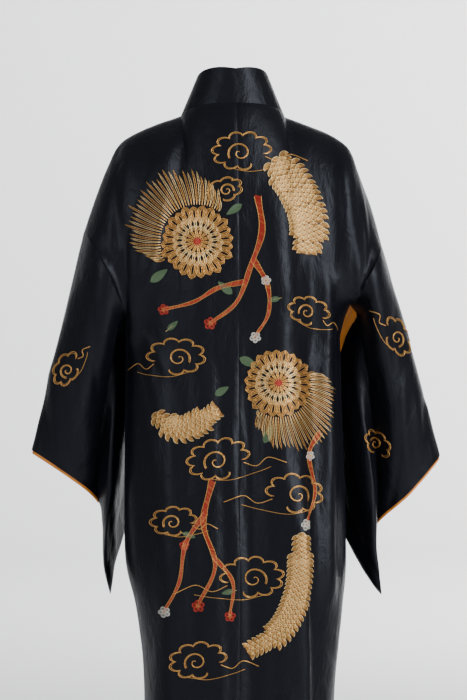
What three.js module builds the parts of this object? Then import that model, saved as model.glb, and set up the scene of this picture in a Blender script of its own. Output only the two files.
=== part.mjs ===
import * as THREE from "three";

// Silk kimono robe as worn. Millimetres, +Z up, front towards -Y, the wearer's left towards +X.
// The origin is on the inner face of the cloth at the nape, where the neck carries the robe.

const silkWall = 1.6;
const collarWall = 2.4;
const liningWall = 1.0;
const liningAir = 0.4;
const liningRim = 2.4;
const seamGap = 0.3;
const napeDepth = 60;
const neckHalfWidth = 82;
const neckDrop = 19;
const collarWidth = 58;
const collarBackHeight = 56;
const collarEndHeight = -700;
const underarmHeight = -333;
const underarmTilt = 12;
const bodySquareness = 2.3;
const frontEdgeAngle = 178;
const overlapAngle = 38;
const layerGap = 5.5;
const armholeDepth = 74;
const underarmOpening = 8;
const armShare = 0.4;
const bagOpening = 9;
const bagLean = -0.9;

// Grid counts: cloth columns and rows of each piece.
const backColumns = 10;
const neckColumns = 3;
const frontColumns = backColumns - neckColumns;
const bodyRows = 15;
const yokeRows = 9;
const overlapColumns = 3;
const collarColumns = 3;
const collarPasses = 3;
const sleeveRows = 9;
const bagColumns = 7;

// Body sections from hem to underarm: half widths of the wearer's left and right, depth back and front.
const bodySections = [
  { z: -1380, left: 133, right: 151, back: 104, front: 100 },
  { z: -1180, left: 135, right: 155, back: 107, front: 103 },
  { z: -954, left: 140, right: 163, back: 112, front: 107 },
  { z: -885, left: 143, right: 168, back: 115, front: 109 },
  { z: -808, left: 154, right: 176, back: 119, front: 112 },
  { z: -730, left: 171, right: 183, back: 122, front: 113 },
  { z: -560, left: 172, right: 178, back: 113, front: 106 },
  { z: -430, left: 171, right: 174, back: 100, front: 100 },
  { z: -365, left: 171, right: 174, back: 101, front: 104 },
  { z: -333, left: 172, right: 190, back: 104, front: 108 },
];

// Shoulder line from the neck (share 0) over the arm to the sleeve seam (share 1).
const shoulderLine = [
  { share: 0, x: 82, y: 0, z: -19 },
  { share: 0.14, x: 122, y: 2, z: -33 },
  { share: 0.28, x: 160, y: 3, z: -47 },
  { share: 0.42, x: 183, y: 3, z: -62 },
  { share: 0.56, x: 197, y: 2, z: -90 },
  { share: 0.71, x: 212, y: 1, z: -128 },
  { share: 0.86, x: 226, y: 0, z: -170 },
  { share: 1, x: 239, y: 0, z: -214 },
];

// Soft rolls of the back, each from its upper end to its lower end; x is across, + is the wearer's left.
// inner and outer are its widths towards +X and -X, deep its height.
const backRolls = [
  { x0: 100, z0: -70, x1: 163, z1: -350, inner: 26, outer: 12, deep: 9 },
  { x0: -178, z0: -90, x1: -196, z1: -330, inner: 30, outer: 12, deep: 10 },
  { x0: -62, z0: -190, x1: -78, z1: -1380, inner: 34, outer: 26, deep: 9 },
  { x0: -96, z0: -640, x1: -112, z1: -1380, inner: 20, outer: 8, deep: 9 },
  { x0: -148, z0: -300, x1: -146, z1: -760, inner: 16, outer: 12, deep: 7 },
  { x0: 120, z0: -430, x1: 86, z1: -1380, inner: 24, outer: 26, deep: 7 },
  { x0: -18, z0: -420, x1: -20, z1: -1380, inner: 14, outer: 14, deep: -5 },
];

// Front rolls, plain and hidden in the photo.
const frontRolls = [
  { x0: 96, z0: -420, x1: 84, z1: -1380, inner: 26, outer: 26, deep: 6 },
  { x0: -104, z0: -430, x1: -96, z1: -1380, inner: 26, outer: 26, deep: 6 },
];

// Middle of each sleeve bag. along: 0 armhole, 1 cuff. down: 0 top fold, 1 bottom seam.
// x is outwards from the neck, open is half the space between its back and front cloth.
const sleeveSections = {
  right: [
    { along: 0, down: 0, x: 239, y: 0, z: -222, open: 0 },
    { along: 0, down: 0.2, x: 219, y: 0, z: -275, open: 40 },
    { along: 0, down: 0.4, x: 204, y: -2, z: -329, open: 8 },
    { along: 0, down: 0.52, x: 179, y: -38, z: -378, open: 16 },
    { along: 0, down: 0.76, x: 175, y: -68, z: -492, open: 12 },
    { along: 0, down: 1, x: 168, y: -92, z: -620, open: 0 },
    { along: 0.5, down: 0, x: 292, y: -12, z: -396, open: 0 },
    { along: 0.5, down: 0.2, x: 266, y: -22, z: -470, open: 40 },
    { along: 0.5, down: 0.4, x: 236, y: -34, z: -542, open: 13 },
    { along: 0.5, down: 0.52, x: 224, y: -10, z: -582, open: 14 },
    { along: 0.5, down: 0.76, x: 208, y: -30, z: -650, open: 13 },
    { along: 0.5, down: 1, x: 198, y: -46, z: -714, open: 0 },
    { along: 1, down: 0, x: 342, y: -34, z: -565, open: 0 },
    { along: 1, down: 0.2, x: 292, y: -42, z: -622, open: 26 },
    { along: 1, down: 0.4, x: 242, y: -56, z: -672, open: 8 },
    { along: 1, down: 0.52, x: 236, y: -34, z: -704, open: 12 },
    { along: 1, down: 0.76, x: 239, y: -8, z: -754, open: 12 },
    { along: 1, down: 1, x: 241, y: 8, z: -788, open: 0 },
  ],
  left: [
    { along: 0, down: 0, x: 238, y: 0, z: -206, open: 0 },
    { along: 0, down: 0.2, x: 209, y: 0, z: -278, open: 40 },
    { along: 0, down: 0.4, x: 184, y: -2, z: -353, open: 8 },
    { along: 0, down: 0.52, x: 175, y: -37, z: -402, open: 14 },
    { along: 0, down: 0.76, x: 170, y: -67, z: -522, open: 12 },
    { along: 0, down: 1, x: 164, y: -92, z: -654, open: 0 },
    { along: 0.5, down: 0, x: 280, y: -12, z: -384, open: 0 },
    { along: 0.5, down: 0.2, x: 252, y: -22, z: -460, open: 40 },
    { along: 0.5, down: 0.4, x: 212, y: -34, z: -542, open: 13 },
    { along: 0.5, down: 0.52, x: 198, y: -10, z: -590, open: 14 },
    { along: 0.5, down: 0.76, x: 194, y: -30, z: -662, open: 13 },
    { along: 0.5, down: 1, x: 184, y: -46, z: -730, open: 0 },
    { along: 1, down: 0, x: 320, y: -34, z: -555, open: 0 },
    { along: 1, down: 0.2, x: 262, y: -42, z: -594, open: 26 },
    { along: 1, down: 0.4, x: 212, y: -54, z: -636, open: 8 },
    { along: 1, down: 0.52, x: 206, y: -34, z: -676, open: 12 },
    { along: 1, down: 0.76, x: 206, y: -8, z: -738, open: 12 },
    { along: 1, down: 1, x: 197, y: 8, z: -785, open: 0 },
  ],
};

// How far the back cloth of the free inner sleeve edge stands out from the front cloth.
const furiLean = { left: 0.12, right: 0.4 };

const silk = new THREE.MeshStandardMaterial({ color: 0x14151a, roughness: 0.42, metalness: 0 });
const liningSilk = new THREE.MeshStandardMaterial({ color: 0xd8661a, roughness: 0.5, metalness: 0 });

const vec = (x, y, z) => new THREE.Vector3(x, y, z);
const mix = (a, b, t) => a + (b - a) * t;
const limit = (t) => Math.min(1, Math.max(0, t));

function ease(from, to, value) {
  const t = limit((value - from) / (to - from));
  return t * t * (3 - 2 * t);
}

// One named column of a table at a key value, a smooth curve through its rows.
function readTable(rows, key, column, value) {
  let i = 0;
  while (i < rows.length - 2 && value > rows[i + 1][key]) i++;
  const before = rows[Math.max(0, i - 1)];
  const low = rows[i];
  const high = rows[i + 1];
  const after = rows[Math.min(rows.length - 1, i + 2)];
  const step = high[key] - low[key];
  const t = limit((value - low[key]) / step);
  const slopeLow = ((high[column] - before[column]) / (high[key] - before[key])) * step;
  const slopeHigh = ((after[column] - low[column]) / (after[key] - low[key])) * step;
  const t2 = t * t;
  const t3 = t2 * t;
  return (
    (2 * t3 - 3 * t2 + 1) * low[column] +
    (t3 - 2 * t2 + t) * slopeLow +
    (3 * t2 - 2 * t3) * high[column] +
    (t3 - t2) * slopeHigh
  );
}

// Height of the cloth rolls at x and z.
function rollHeight(rolls, x, z) {
  let sum = 0;
  for (const roll of rolls) {
    const t = (z - roll.z0) / (roll.z1 - roll.z0);
    const crest = mix(roll.x0, roll.x1, limit(t));
    const width = x > crest ? roll.inner : roll.outer;
    const reach = ease(-0.12, 0.12, t) * (1 - ease(1.0, 1.15, t));
    sum += roll.deep * reach * Math.exp(-(((x - crest) / width) ** 2));
  }
  return sum;
}

// The body column: angle 0 at the centre back, 90 at the side, 180 at the centre front.
function bodyPoint(side, angle, z) {
  const turn = (angle * Math.PI) / 180;
  const sine = Math.sin(turn);
  const cosine = Math.cos(turn);
  const power = 2 / bodySquareness;
  const across = side * Math.sign(sine) * Math.abs(sine) ** power;
  const along = Math.sign(cosine) * Math.abs(cosine) ** power;
  const halfWidth = readTable(bodySections, "z", across > 0 ? "left" : "right", z);
  const depth = readTable(bodySections, "z", cosine > 0 ? "back" : "front", z);
  const x = across * halfWidth;
  const y = along * depth;
  const out = vec(x / halfWidth ** 2, y / depth ** 2, 0).normalize();
  let move = 0;
  if (cosine > 0) move += rollHeight(backRolls, x, z) * ease(0, 45, y);
  else {
    move += rollHeight(frontRolls, x, z) * ease(0, 45, -y);
    move += side * layerGap * (1 - ease(60, 135, x * side));
  }
  const lift = -underarmTilt * across * ease(-600, underarmHeight, z);
  return vec(x + out.x * move, y + out.y * move, z + lift);
}

// Seam of body and sleeve: turn 0 at the shoulder, PI under the arm; layer 1 back, -1 front.
function armholePoint(side, turn, layer) {
  const rows = sleeveSections[side > 0 ? "left" : "right"];
  const top = rows[0];
  const bottom = bodyPoint(side, 90, underarmHeight);
  const share = (1 - Math.cos(turn)) / 2;
  const open = armholeDepth * Math.sin(turn) + underarmOpening * share;
  return vec(mix(side * top.x, bottom.x, share), layer * open, mix(top.z, bottom.z, share));
}

// Upper edge of the back: the neck seam, then the shoulder fold.
function topPoint(side, column) {
  if (column <= neckColumns) {
    const turn = ((column / neckColumns) * Math.PI) / 2;
    const drop = neckDrop * (1 - Math.cos(turn)) ** 1.2;
    return vec(side * neckHalfWidth * Math.sin(turn), napeDepth * Math.cos(turn), -drop);
  }
  const share = (column - neckColumns) / frontColumns;
  const seam = sleeveSections[side > 0 ? "left" : "right"][0];
  const fit = share ** 3;
  return vec(
    side * mix(readTable(shoulderLine, "share", "x", share), seam.x, fit),
    mix(readTable(shoulderLine, "share", "y", share), 0, fit),
    mix(readTable(shoulderLine, "share", "z", share), seam.z, fit),
  );
}

// Upper back between underarm (row share 0) and shoulder (row share 1).
function yokeBackPoint(side, column, rowShare) {
  const share = column / backColumns;
  const rise = Math.sin((rowShare * Math.PI) / 2);
  const start = bodyPoint(side, 90 * share, underarmHeight);
  const end = topPoint(side, column);
  const armRise = (1 - Math.cos(rowShare * Math.PI)) / 2;
  const climb = mix(rise, armRise, ease(0.5, 1, share));
  const round = mix(0.8, 0.5, ease(0.1, 0.4, share));
  const bulge = armholePoint(side, Math.PI * (1 - rowShare), 1).y * share ** 3;
  const x = mix(start.x, end.x, climb);
  const z = mix(start.z, end.z, climb);
  const y = end.y + (start.y - end.y) * (1 - rise ** 3) ** round + bulge;
  const soft = 1 - ease(0.85, 1, rowShare);
  const free = 1 - ease(0.8, 1, share);
  const roll = rollHeight(backRolls, x, z) - rollHeight(backRolls, start.x, start.z) * (1 - rise ** 3) ** round;
  return vec(x, y + roll * soft * free, z);
}

// Upper front: share 0 at the armhole, 1 at the neck edge.
function yokeFrontPoint(side, share, rowShare) {
  const rise = Math.sin((rowShare * Math.PI) / 2);
  const start = bodyPoint(side, mix(90, frontEdgeAngle, share), underarmHeight);
  const end = topPoint(side, backColumns - share * frontColumns);
  const armRise = (1 - Math.cos(rowShare * Math.PI)) / 2;
  const climb = mix(armRise, rise, ease(0, 0.5, share));
  const bulge = armholePoint(side, Math.PI * (1 - rowShare), -1).y * (1 - share) ** 3;
  return vec(
    mix(start.x, end.x, climb),
    end.y + (start.y - end.y) * (1 - rise ** 3) ** 0.5 + bulge,
    mix(start.z, end.z, climb),
  );
}

// Angle of the overlap panel's free edge at a height.
function overlapEdge(z) {
  return frontEdgeAngle + 2 + overlapAngle * ease(underarmHeight + 60, collarEndHeight - 60, z);
}

const rowHeight = (row) => {
  const hem = bodySections[0].z;
  return mix(hem, underarmHeight, row / bodyRows);
};

// A cloth piece: points under keys, four-sided cells, later given its wall.
class Cloth {
  constructor(name, wall, material, flip) {
    Object.assign(this, { name, wall, material, flip });
    this.points = [];
    this.cells = [];
    this.keys = new Map();
  }
  point(key, make) {
    if (!this.keys.has(key)) {
      this.keys.set(key, this.points.length);
      this.points.push(make());
    }
    return this.keys.get(key);
  }
  cell(a, b, c, d) {
    this.cells.push(this.flip ? [d, c, b, a] : [a, b, c, d]);
  }
}

// Extra room in the armhole seam, most under the arm where body and sleeve part.
const armSlack = (row) => (row < 3 ? 1.2 : 0.12);

// One side of the body: a back and a front, joined by the side seam and meeting at the shoulder fold.
function makeBody(side) {
  const word = side > 0 ? "left" : "right";
  const backCloth = new Cloth("back_" + word, silkWall, silk, side < 0);
  const frontCloth = new Cloth("front_" + word, silkWall, silk, side < 0);
  const ring = (cloth, column, row) =>
    cloth.point("ring" + column + ":" + row, () => {
      const front = (column - backColumns) / frontColumns;
      const angle = front <= 0 ? (90 * column) / backColumns : mix(90, frontEdgeAngle, front);
      return bodyPoint(side, angle, rowHeight(row));
    });
  for (let row = 0; row < bodyRows; row++)
    for (let column = 0; column < backColumns + frontColumns; column++) {
      const cloth = column < backColumns ? backCloth : frontCloth;
      cloth.cell(
        ring(cloth, column, row),
        ring(cloth, column, row + 1),
        ring(cloth, column + 1, row + 1),
        ring(cloth, column + 1, row),
      );
    }
  const back = (column, row) => {
    if (row === 0) return ring(backCloth, column, bodyRows);
    return backCloth.point("back" + column + ":" + row, () =>
      yokeBackPoint(side, column, row / yokeRows),
    );
  };
  const front = (column, row) => {
    if (row === 0) return ring(frontCloth, backColumns + column, bodyRows);
    return frontCloth.point("front" + column + ":" + row, () =>
      row === yokeRows
        ? yokeBackPoint(side, backColumns - column, 1)
        : yokeFrontPoint(side, column / frontColumns, row / yokeRows),
    );
  };
  for (let row = 0; row < yokeRows; row++) {
    for (let column = 0; column < backColumns; column++)
      backCloth.cell(
        back(column, row),
        back(column, row + 1),
        back(column + 1, row + 1),
        back(column + 1, row),
      );
    for (let column = 0; column < frontColumns; column++)
      frontCloth.cell(
        front(column, row),
        front(column, row + 1),
        front(column + 1, row + 1),
        front(column + 1, row),
      );
  }
  backCloth.slack = new Map();
  frontCloth.slack = new Map();
  for (let row = 1; row < yokeRows; row++) {
    backCloth.slack.set(back(backColumns, row), armSlack(row));
    frontCloth.slack.set(front(0, row), armSlack(row));
  }
  return [backCloth, frontCloth];
}

function makeOverlap(side) {
  const cloth = new Cloth(side > 0 ? "overlap_left" : "overlap_right", silkWall, silk, side < 0);
  const at = (column, row) =>
    cloth.point(column + ":" + row, () => {
      const z = rowHeight(row);
      return bodyPoint(side, mix(frontEdgeAngle, overlapEdge(z), column / overlapColumns), z);
    });
  for (let row = 0; row < bodyRows; row++)
    for (let column = 0; column < overlapColumns; column++)
      cloth.cell(at(column, row), at(column, row + 1), at(column + 1, row + 1), at(column + 1, row));
  return cloth;
}

// One side's run of the collar seam, from the nape to the collar's end, with the band's direction.
function collarRun(side) {
  const run = [];
  for (let column = 0; column <= neckColumns; column++) {
    const turn = ((column / neckColumns) * Math.PI) / 2;
    const seam = topPoint(side, column);
    const lean = vec(-side * 0.42 * Math.sin(turn), -0.14 * Math.cos(turn), 1).normalize();
    run.push({ seam, lean, width: mix(collarBackHeight, 66, Math.sin(turn)) });
  }
  for (let row = yokeRows - 1; row >= 0; row--) {
    const share = row / yokeRows;
    const seam = yokeFrontPoint(side, 1, share);
    run.push({ seam, inner: yokeFrontPoint(side, 0.94, share) });
  }
  for (let row = bodyRows; row >= 0; row--) {
    const z = rowHeight(row);
    if (z < collarEndHeight) break;
    run.push({ seam: bodyPoint(side, overlapEdge(z), z), ringHeight: z });
  }
  return run;
}

// Points of the band across its width at one place of the run.
function collarPoint(side, run, place, share) {
  const here = run[place];
  const before = run[Math.max(0, place - 1)].seam;
  const after = run[Math.min(run.length - 1, place + 1)].seam;
  const tangent = after.clone().sub(before).normalize();
  const reach = share * (here.width ?? collarWidth);
  if (here.lean) return here.seam.clone().addScaledVector(here.lean, reach);
  if (here.ringHeight !== undefined) {
    const slope = vec(side * -1, 0, 0);
    const up = slope.clone().cross(tangent).cross(tangent).normalize();
    if (up.dot(slope) < 0) up.negate();
    const z = here.ringHeight + up.z * reach;
    const arc = Math.hypot(up.x, up.y) * reach;
    const angle = overlapEdge(here.ringHeight);
    const step = bodyPoint(side, angle + 1, z).distanceTo(bodyPoint(side, angle, z));
    return bodyPoint(side, angle + arc / step, z);
  }
  const flat = here.seam.clone().sub(here.inner);
  flat.addScaledVector(tangent, -flat.dot(tangent)).normalize();
  const turn = ease(-15, -130, here.seam.z);
  const direction = run[neckColumns].lean.clone().lerp(flat, turn).normalize();
  const bend = ((reach * reach) / 540) * turn;
  return here.seam.clone().addScaledVector(direction, reach).add(vec(0, bend, 0));
}

function makeCollar() {
  const cloth = new Cloth("collar", collarWall, silk, false);
  const runs = { 1: collarRun(1), [-1]: collarRun(-1) };
  const last = runs[1].length - 1;
  // Free edge of the band evened out where the chest meets the overlap.
  const lines = [];
  for (let column = 0; column <= collarColumns; column++) {
    let line = [];
    for (let place = -last; place <= last; place++) {
      const side = place >= 0 ? 1 : -1;
      line.push(collarPoint(side, runs[side], Math.abs(place), column / collarColumns));
    }
    const share = limit((2 * column) / collarColumns);
    for (let pass = 0; pass < collarPasses; pass++)
      line = line.map((p, i) => {
        if (i === 0 || i === line.length - 1) return p;
        const near = ease(-180, -260, p.z) * (1 - ease(-430, -520, p.z)) * share;
        const even = line[i - 1].clone().add(line[i + 1]).multiplyScalar(0.5);
        return p.clone().lerp(even, 0.5 * near);
      });
    lines.push(line);
  }
  const at = (place, column) =>
    cloth.point(place + ":" + column, () => lines[column][place + last].clone());
  for (let place = -last; place < last; place++)
    for (let column = 0; column < collarColumns; column++)
      cloth.cell(
        at(place, column),
        at(place, column + 1),
        at(place + 1, column + 1),
        at(place + 1, column),
      );
  return cloth;
}

// Middle of the sleeve bag at along and down, with half its opening, outwards as +x.
function bagMiddle(rows, along, down) {
  const columns = ["x", "y", "z", "open"];
  const stations = [0, 0.5, 1].map((station) => {
    const section = rows.filter((row) => row.along === station);
    return columns.map((column) => readTable(section, "down", column, down));
  });
  const weights = [
    (along - 0.5) * (along - 1) * 2,
    along * (1 - along) * 4,
    along * (along - 0.5) * 2,
  ];
  const [x, y, z, open] = columns.map((_, k) =>
    weights.reduce((sum, weight, i) => sum + weight * stations[i][k], 0),
  );
  return { point: vec(x, y, z), open: Math.max(open, 0) };
}

function sleevePoint(side, along, down, armTurn, layer) {
  const name = side > 0 ? "left" : "right";
  const rows = sleeveSections[name];
  if (along === 0 && armTurn !== null && armTurn < Math.PI - 0.01)
    return armholePoint(side, armTurn, layer);
  const { point, open } = bagMiddle(rows, along, down);
  const free = furiLean[name] * ease(0.36, 0.46, down) * (1 - ease(0, 0.35, along));
  const lean = mix(free, bagLean * (1 - ease(0.2, 0.65, along)), ease(0.52, 0.72, down));
  const direction = vec(lean, 1, 0).normalize();
  let half = layer ? Math.max(open, bagOpening) : 0;
  if (armTurn !== null) {
    const room = mix(mix(armholeDepth, 46, ease(0, 0.5, along)), 26, ease(0.5, 1, along));
    const low = bagMiddle(rows, along, armShare).open;
    const soft = armTurn > Math.PI / 2 ? mix(1, 1.9, ease(0, 0.35, along)) : 1;
    half = room * Math.sin(armTurn) ** soft + (low * (1 - Math.cos(armTurn))) / 2;
  }
  const made = point.addScaledVector(direction, layer * half);
  return vec(side * made.x, made.y, made.z);
}

function makeSleeve(side) {
  const cloth = new Cloth(side > 0 ? "sleeve_left" : "sleeve_right", silkWall, silk, side < 0);
  const columns = yokeRows + bagColumns;
  const at = (row, column, layer) => {
    const armTurn = column <= yokeRows ? (Math.PI * column) / yokeRows : null;
    const arm = (armShare * (1 - Math.cos(armTurn ?? 0))) / 2;
    const down = armTurn !== null ? arm : mix(armShare, 1, (column - yokeRows) / bagColumns);
    const along = row / sleeveRows;
    const folded = column === 0 || column === columns;
    const sewn = row === sleeveRows && column > yokeRows;
    const shared = folded || sewn;
    const key = row + ":" + column + (shared ? "" : ":" + layer);
    return cloth.point(key, () => sleevePoint(side, along, down, armTurn, shared ? 0 : layer));
  };
  for (let row = 0; row < sleeveRows; row++)
    for (let column = 0; column < columns; column++) {
      cloth.cell(
        at(row, column, 1),
        at(row + 1, column, 1),
        at(row + 1, column + 1, 1),
        at(row, column + 1, 1),
      );
      cloth.cell(
        at(row, column + 1, -1),
        at(row + 1, column + 1, -1),
        at(row + 1, column, -1),
        at(row, column, -1),
      );
    }
  cloth.slack = new Map();
  for (let row = 1; row < yokeRows; row++) {
    cloth.slack.set(at(0, yokeRows - row, 1), armSlack(row));
    cloth.slack.set(at(0, yokeRows - row, -1), armSlack(row));
  }
  return cloth;
}

// Normals of one cloth from its cells.
function findNormals(cloth) {
  cloth.normals = cloth.points.map(() => vec(0, 0, 0));
  for (const [a, b, c, d] of cloth.cells) {
    const diagonal = cloth.points[c].clone().sub(cloth.points[a]);
    const other = cloth.points[d].clone().sub(cloth.points[b]);
    const normal = diagonal.cross(other).normalize();
    for (const i of [a, b, c, d]) cloth.normals[i].add(normal);
  }
  cloth.normals.forEach((normal) => normal.normalize());
}

// Edges that belong to one cell only, in the direction of that cell.
function openEdges(cloth) {
  const seen = new Map();
  for (const cell of cloth.cells)
    cell.forEach((from, k) => {
      const to = cell[(k + 1) % 4];
      if (from !== to) seen.set(from + "," + to, [from, to]);
    });
  return [...seen.values()].filter(([from, to]) => !seen.has(to + "," + from));
}

// Where pieces meet they share one normal and stand apart by the seam gap.
function joinSeams(cloths) {
  const places = new Map();
  const keyOf = (p) => [p.x, p.y, p.z].map((n) => Math.round(n * 50)).join(",");
  for (const cloth of cloths)
    cloth.points.forEach((p, i) => {
      const key = keyOf(p);
      if (!places.has(key)) places.set(key, []);
      places.get(key).push([cloth, i]);
    });
  const moves = [];
  for (const group of places.values()) {
    if (group.length < 2) continue;
    const shared = vec(0, 0, 0);
    for (const [cloth, i] of group) shared.add(cloth.normals[i]);
    shared.normalize();
    const pair = [];
    for (const [cloth, i] of group) {
      const along = vec(0, 0, 0);
      for (const [from, to] of cloth.edges) {
        if (from !== i && to !== i) continue;
        along.add(cloth.points[to].clone().sub(cloth.points[from]).normalize());
      }
      along.normalize();
      pair.push([cloth, i, shared.clone().cross(along).normalize()]);
    }
    // A seam that turns a corner needs a little more room for its wall.
    const corner = pair.length === 2 ? 1 + pair[0][2].dot(pair[1][2]) : 0.3;
    for (const [cloth, i, inward] of pair) {
      const step = seamGap / 2 + silkWall * 0.5 * corner + (cloth.slack?.get(i) ?? 0);
      moves.push([cloth, i, inward.multiplyScalar(step), shared.clone()]);
    }
  }
  for (const [cloth, i, move, shared] of moves) {
    cloth.points[i].add(move);
    cloth.normals[i].copy(shared);
  }
}

// Lining of a sleeve: its points moved in, its rim a little proud at the open cuff.
function makeLining(sleeve, name) {
  const cloth = new Cloth(name, liningWall, liningSilk, false);
  const inset = silkWall / 2 + liningAir + liningWall / 2;
  // It stops a hand's breadth short of the sewn cuff edge and the bottom seam, unseen inside.
  const places = [...sleeve.keys].map(([key, i]) => [i, key.split(":").map(Number)]);
  const unseen = ([, [row, column]]) =>
    column === yokeRows + bagColumns ||
    (row === sleeveRows && column >= yokeRows) ||
    (row === sleeveRows - 1 && column > yokeRows);
  const hidden = new Set(places.filter(unseen).map(([i]) => i));
  cloth.cells = sleeve.cells.filter((cell) => !cell.some((i) => hidden.has(i)));
  cloth.pattern = sleeve.points;
  cloth.normals = sleeve.normals.map((normal) => normal.clone());
  cloth.points = sleeve.points.map((p, i) => p.clone().addScaledVector(sleeve.normals[i], -inset));
  for (const [key, i] of sleeve.keys) {
    const [row, column] = key.split(":").map(Number);
    const sewn = column > yokeRows;
    if (row === sleeveRows && !sewn) {
      const before = sleeve.keys.get(sleeveRows - 1 + key.slice(String(row).length));
      const out = sleeve.points[i].clone().sub(sleeve.points[before]).normalize();
      cloth.points[i].addScaledVector(out, liningRim);
    }
    if (row === 0) {
      const next = sleeve.keys.get(1 + key.slice(1));
      const back = sleeve.points[next].clone().sub(sleeve.points[i]).normalize();
      cloth.points[i].addScaledVector(back, column < yokeRows ? 1.5 : 0.4);
    }
  }
  return cloth;
}

// The closed wall of a cloth, half its thickness to each side.
function makeMesh(cloth) {
  const count = cloth.points.length;
  const half = cloth.wall / 2;
  const positions = new Float32Array(count * 6);
  cloth.points.forEach((p, i) => {
    const n = cloth.normals[i];
    p.clone().addScaledVector(n, half).toArray(positions, i * 3);
    p.clone().addScaledVector(n, -half).toArray(positions, (count + i) * 3);
  });
  const index = [];
  const triangle = (a, b, c) => {
    if (a === b || b === c || a === c) return;
    index.push(a, b, c, count + c, count + b, count + a);
  };
  for (const [a, b, c, d] of cloth.cells) {
    const pattern = cloth.pattern ?? cloth.points;
    const ac = pattern[a].distanceTo(pattern[c]);
    const bd = pattern[b].distanceTo(pattern[d]);
    if (ac <= bd) {
      triangle(a, b, c);
      triangle(a, c, d);
    } else {
      triangle(a, b, d);
      triangle(b, c, d);
    }
  }
  for (const [from, to] of openEdges(cloth))
    index.push(to, from, count + from, to, count + from, count + to);
  const geometry = new THREE.BufferGeometry();
  geometry.setAttribute("position", new THREE.BufferAttribute(positions, 3));
  geometry.setIndex(index);
  geometry.translate(0, -(napeDepth - silkWall / 2), 0);
  geometry.computeVertexNormals();
  const mesh = new THREE.Mesh(geometry, cloth.material);
  mesh.name = cloth.name;
  return mesh;
}

const sleeves = [makeSleeve(1), makeSleeve(-1)];
const cloths = [
  ...makeBody(1),
  ...makeBody(-1),
  makeOverlap(1),
  makeOverlap(-1),
  makeCollar(),
  ...sleeves,
];
for (const cloth of cloths) {
  findNormals(cloth);
  cloth.edges = openEdges(cloth);
}
joinSeams(cloths);
cloths.push(makeLining(sleeves[0], "lining_left"), makeLining(sleeves[1], "lining_right"));

const group = new THREE.Group();
group.name = "silk_kimono_robe";
for (const cloth of cloths) group.add(makeMesh(cloth));

export default group;
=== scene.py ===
import bpy
import bmesh
import math
import random
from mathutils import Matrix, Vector, noise
from mathutils.bvhtree import BVHTree


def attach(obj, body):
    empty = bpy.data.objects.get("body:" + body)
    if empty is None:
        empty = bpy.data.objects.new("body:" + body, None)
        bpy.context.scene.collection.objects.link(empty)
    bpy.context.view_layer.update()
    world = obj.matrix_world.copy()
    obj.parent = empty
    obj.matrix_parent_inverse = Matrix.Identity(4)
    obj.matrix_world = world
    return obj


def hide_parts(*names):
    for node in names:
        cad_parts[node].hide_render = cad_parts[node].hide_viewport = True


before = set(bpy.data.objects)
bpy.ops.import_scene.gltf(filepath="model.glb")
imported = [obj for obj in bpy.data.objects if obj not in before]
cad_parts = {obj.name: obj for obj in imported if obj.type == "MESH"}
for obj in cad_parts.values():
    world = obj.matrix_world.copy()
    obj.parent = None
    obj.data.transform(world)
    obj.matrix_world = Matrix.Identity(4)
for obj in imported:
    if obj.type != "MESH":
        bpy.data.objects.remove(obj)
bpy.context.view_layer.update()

# Silk kimono robe as worn, seen from the back. Lengths are in millimetres until a mesh is made.

robe = {
    "silkWall": 1.6,
    "collarWall": 2.4,
    "liningWall": 1.0,
    "liningInset": 1.7,
    "liningRim": 5.0,
    "sleeveHem": {"left": 11, "right": 2},
    "liningHem": {"left": 6, "right": 18},
    "liningRows": 0.78,
    "liningColumns": 0.86,
    "napeDepth": 60,
    "neckHalfWidth": 82,
    "neckDrop": 19,
    "collarWidth": 58,
    "collarBackHeight": 56,
    "collarSideHeight": 66,
    "collarEndHeight": -700,
    "underarmHeight": -333,
    "underarmTilt": 12,
    "bodySquareness": 2.3,
    "frontEdgeAngle": 178,
    "overlapAngle": 38,
    "layerGap": 5.5,
    "armholeDepth": 74,
    "upperArmDepth": 46,
    "cuffDepth": 26,
    "underarmOpening": 8,
    "armShare": 0.4,
    "bagOpening": 9,
    "bagLean": -0.9,
    "hemHeight": -1380,
    "wrinkleDepth": 1.1,
    "seamDip": 0.7,
}
# Brings the nape to the origin.
toNape = Vector((0, -(robe["napeDepth"] - robe["silkWall"] / 2), 0))

grid = {
    "backColumns": 46,
    "frontColumns": 30,
    "bodyRows": 130,
    "yokeRows": 48,
    "overlapColumns": 14,
    "collarColumns": 10,
    "sleeveRows": 64,
    "armColumns": 40,
    "bagColumns": 40,
}


def table(names, *rows):
    return [dict(zip(names.split(), row)) for row in rows]


# Body sections from hem to underarm: half widths left and right as worn, depth back and front.
bodySections = table(
    "z left right back front",
    (-1380, 133, 151, 104, 100),
    (-1180, 135, 155, 107, 103),
    (-954, 140, 163, 112, 107),
    (-885, 143, 168, 115, 109),
    (-808, 154, 176, 119, 112),
    (-730, 171, 183, 122, 113),
    (-560, 172, 178, 113, 106),
    (-430, 171, 174, 100, 100),
    (-365, 171, 174, 101, 104),
    (-333, 172, 190, 104, 108),
)

# Shoulder line from the neck over the arm to the sleeve seam.
shoulderLine = table(
    "share x y z",
    (0, 82, 0, -19),
    (0.14, 122, 2, -33),
    (0.28, 160, 3, -47),
    (0.42, 183, 3, -62),
    (0.56, 197, 2, -90),
    (0.71, 212, 1, -128),
    (0.86, 226, 0, -170),
    (1, 239, 0, -214),
)

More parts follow.
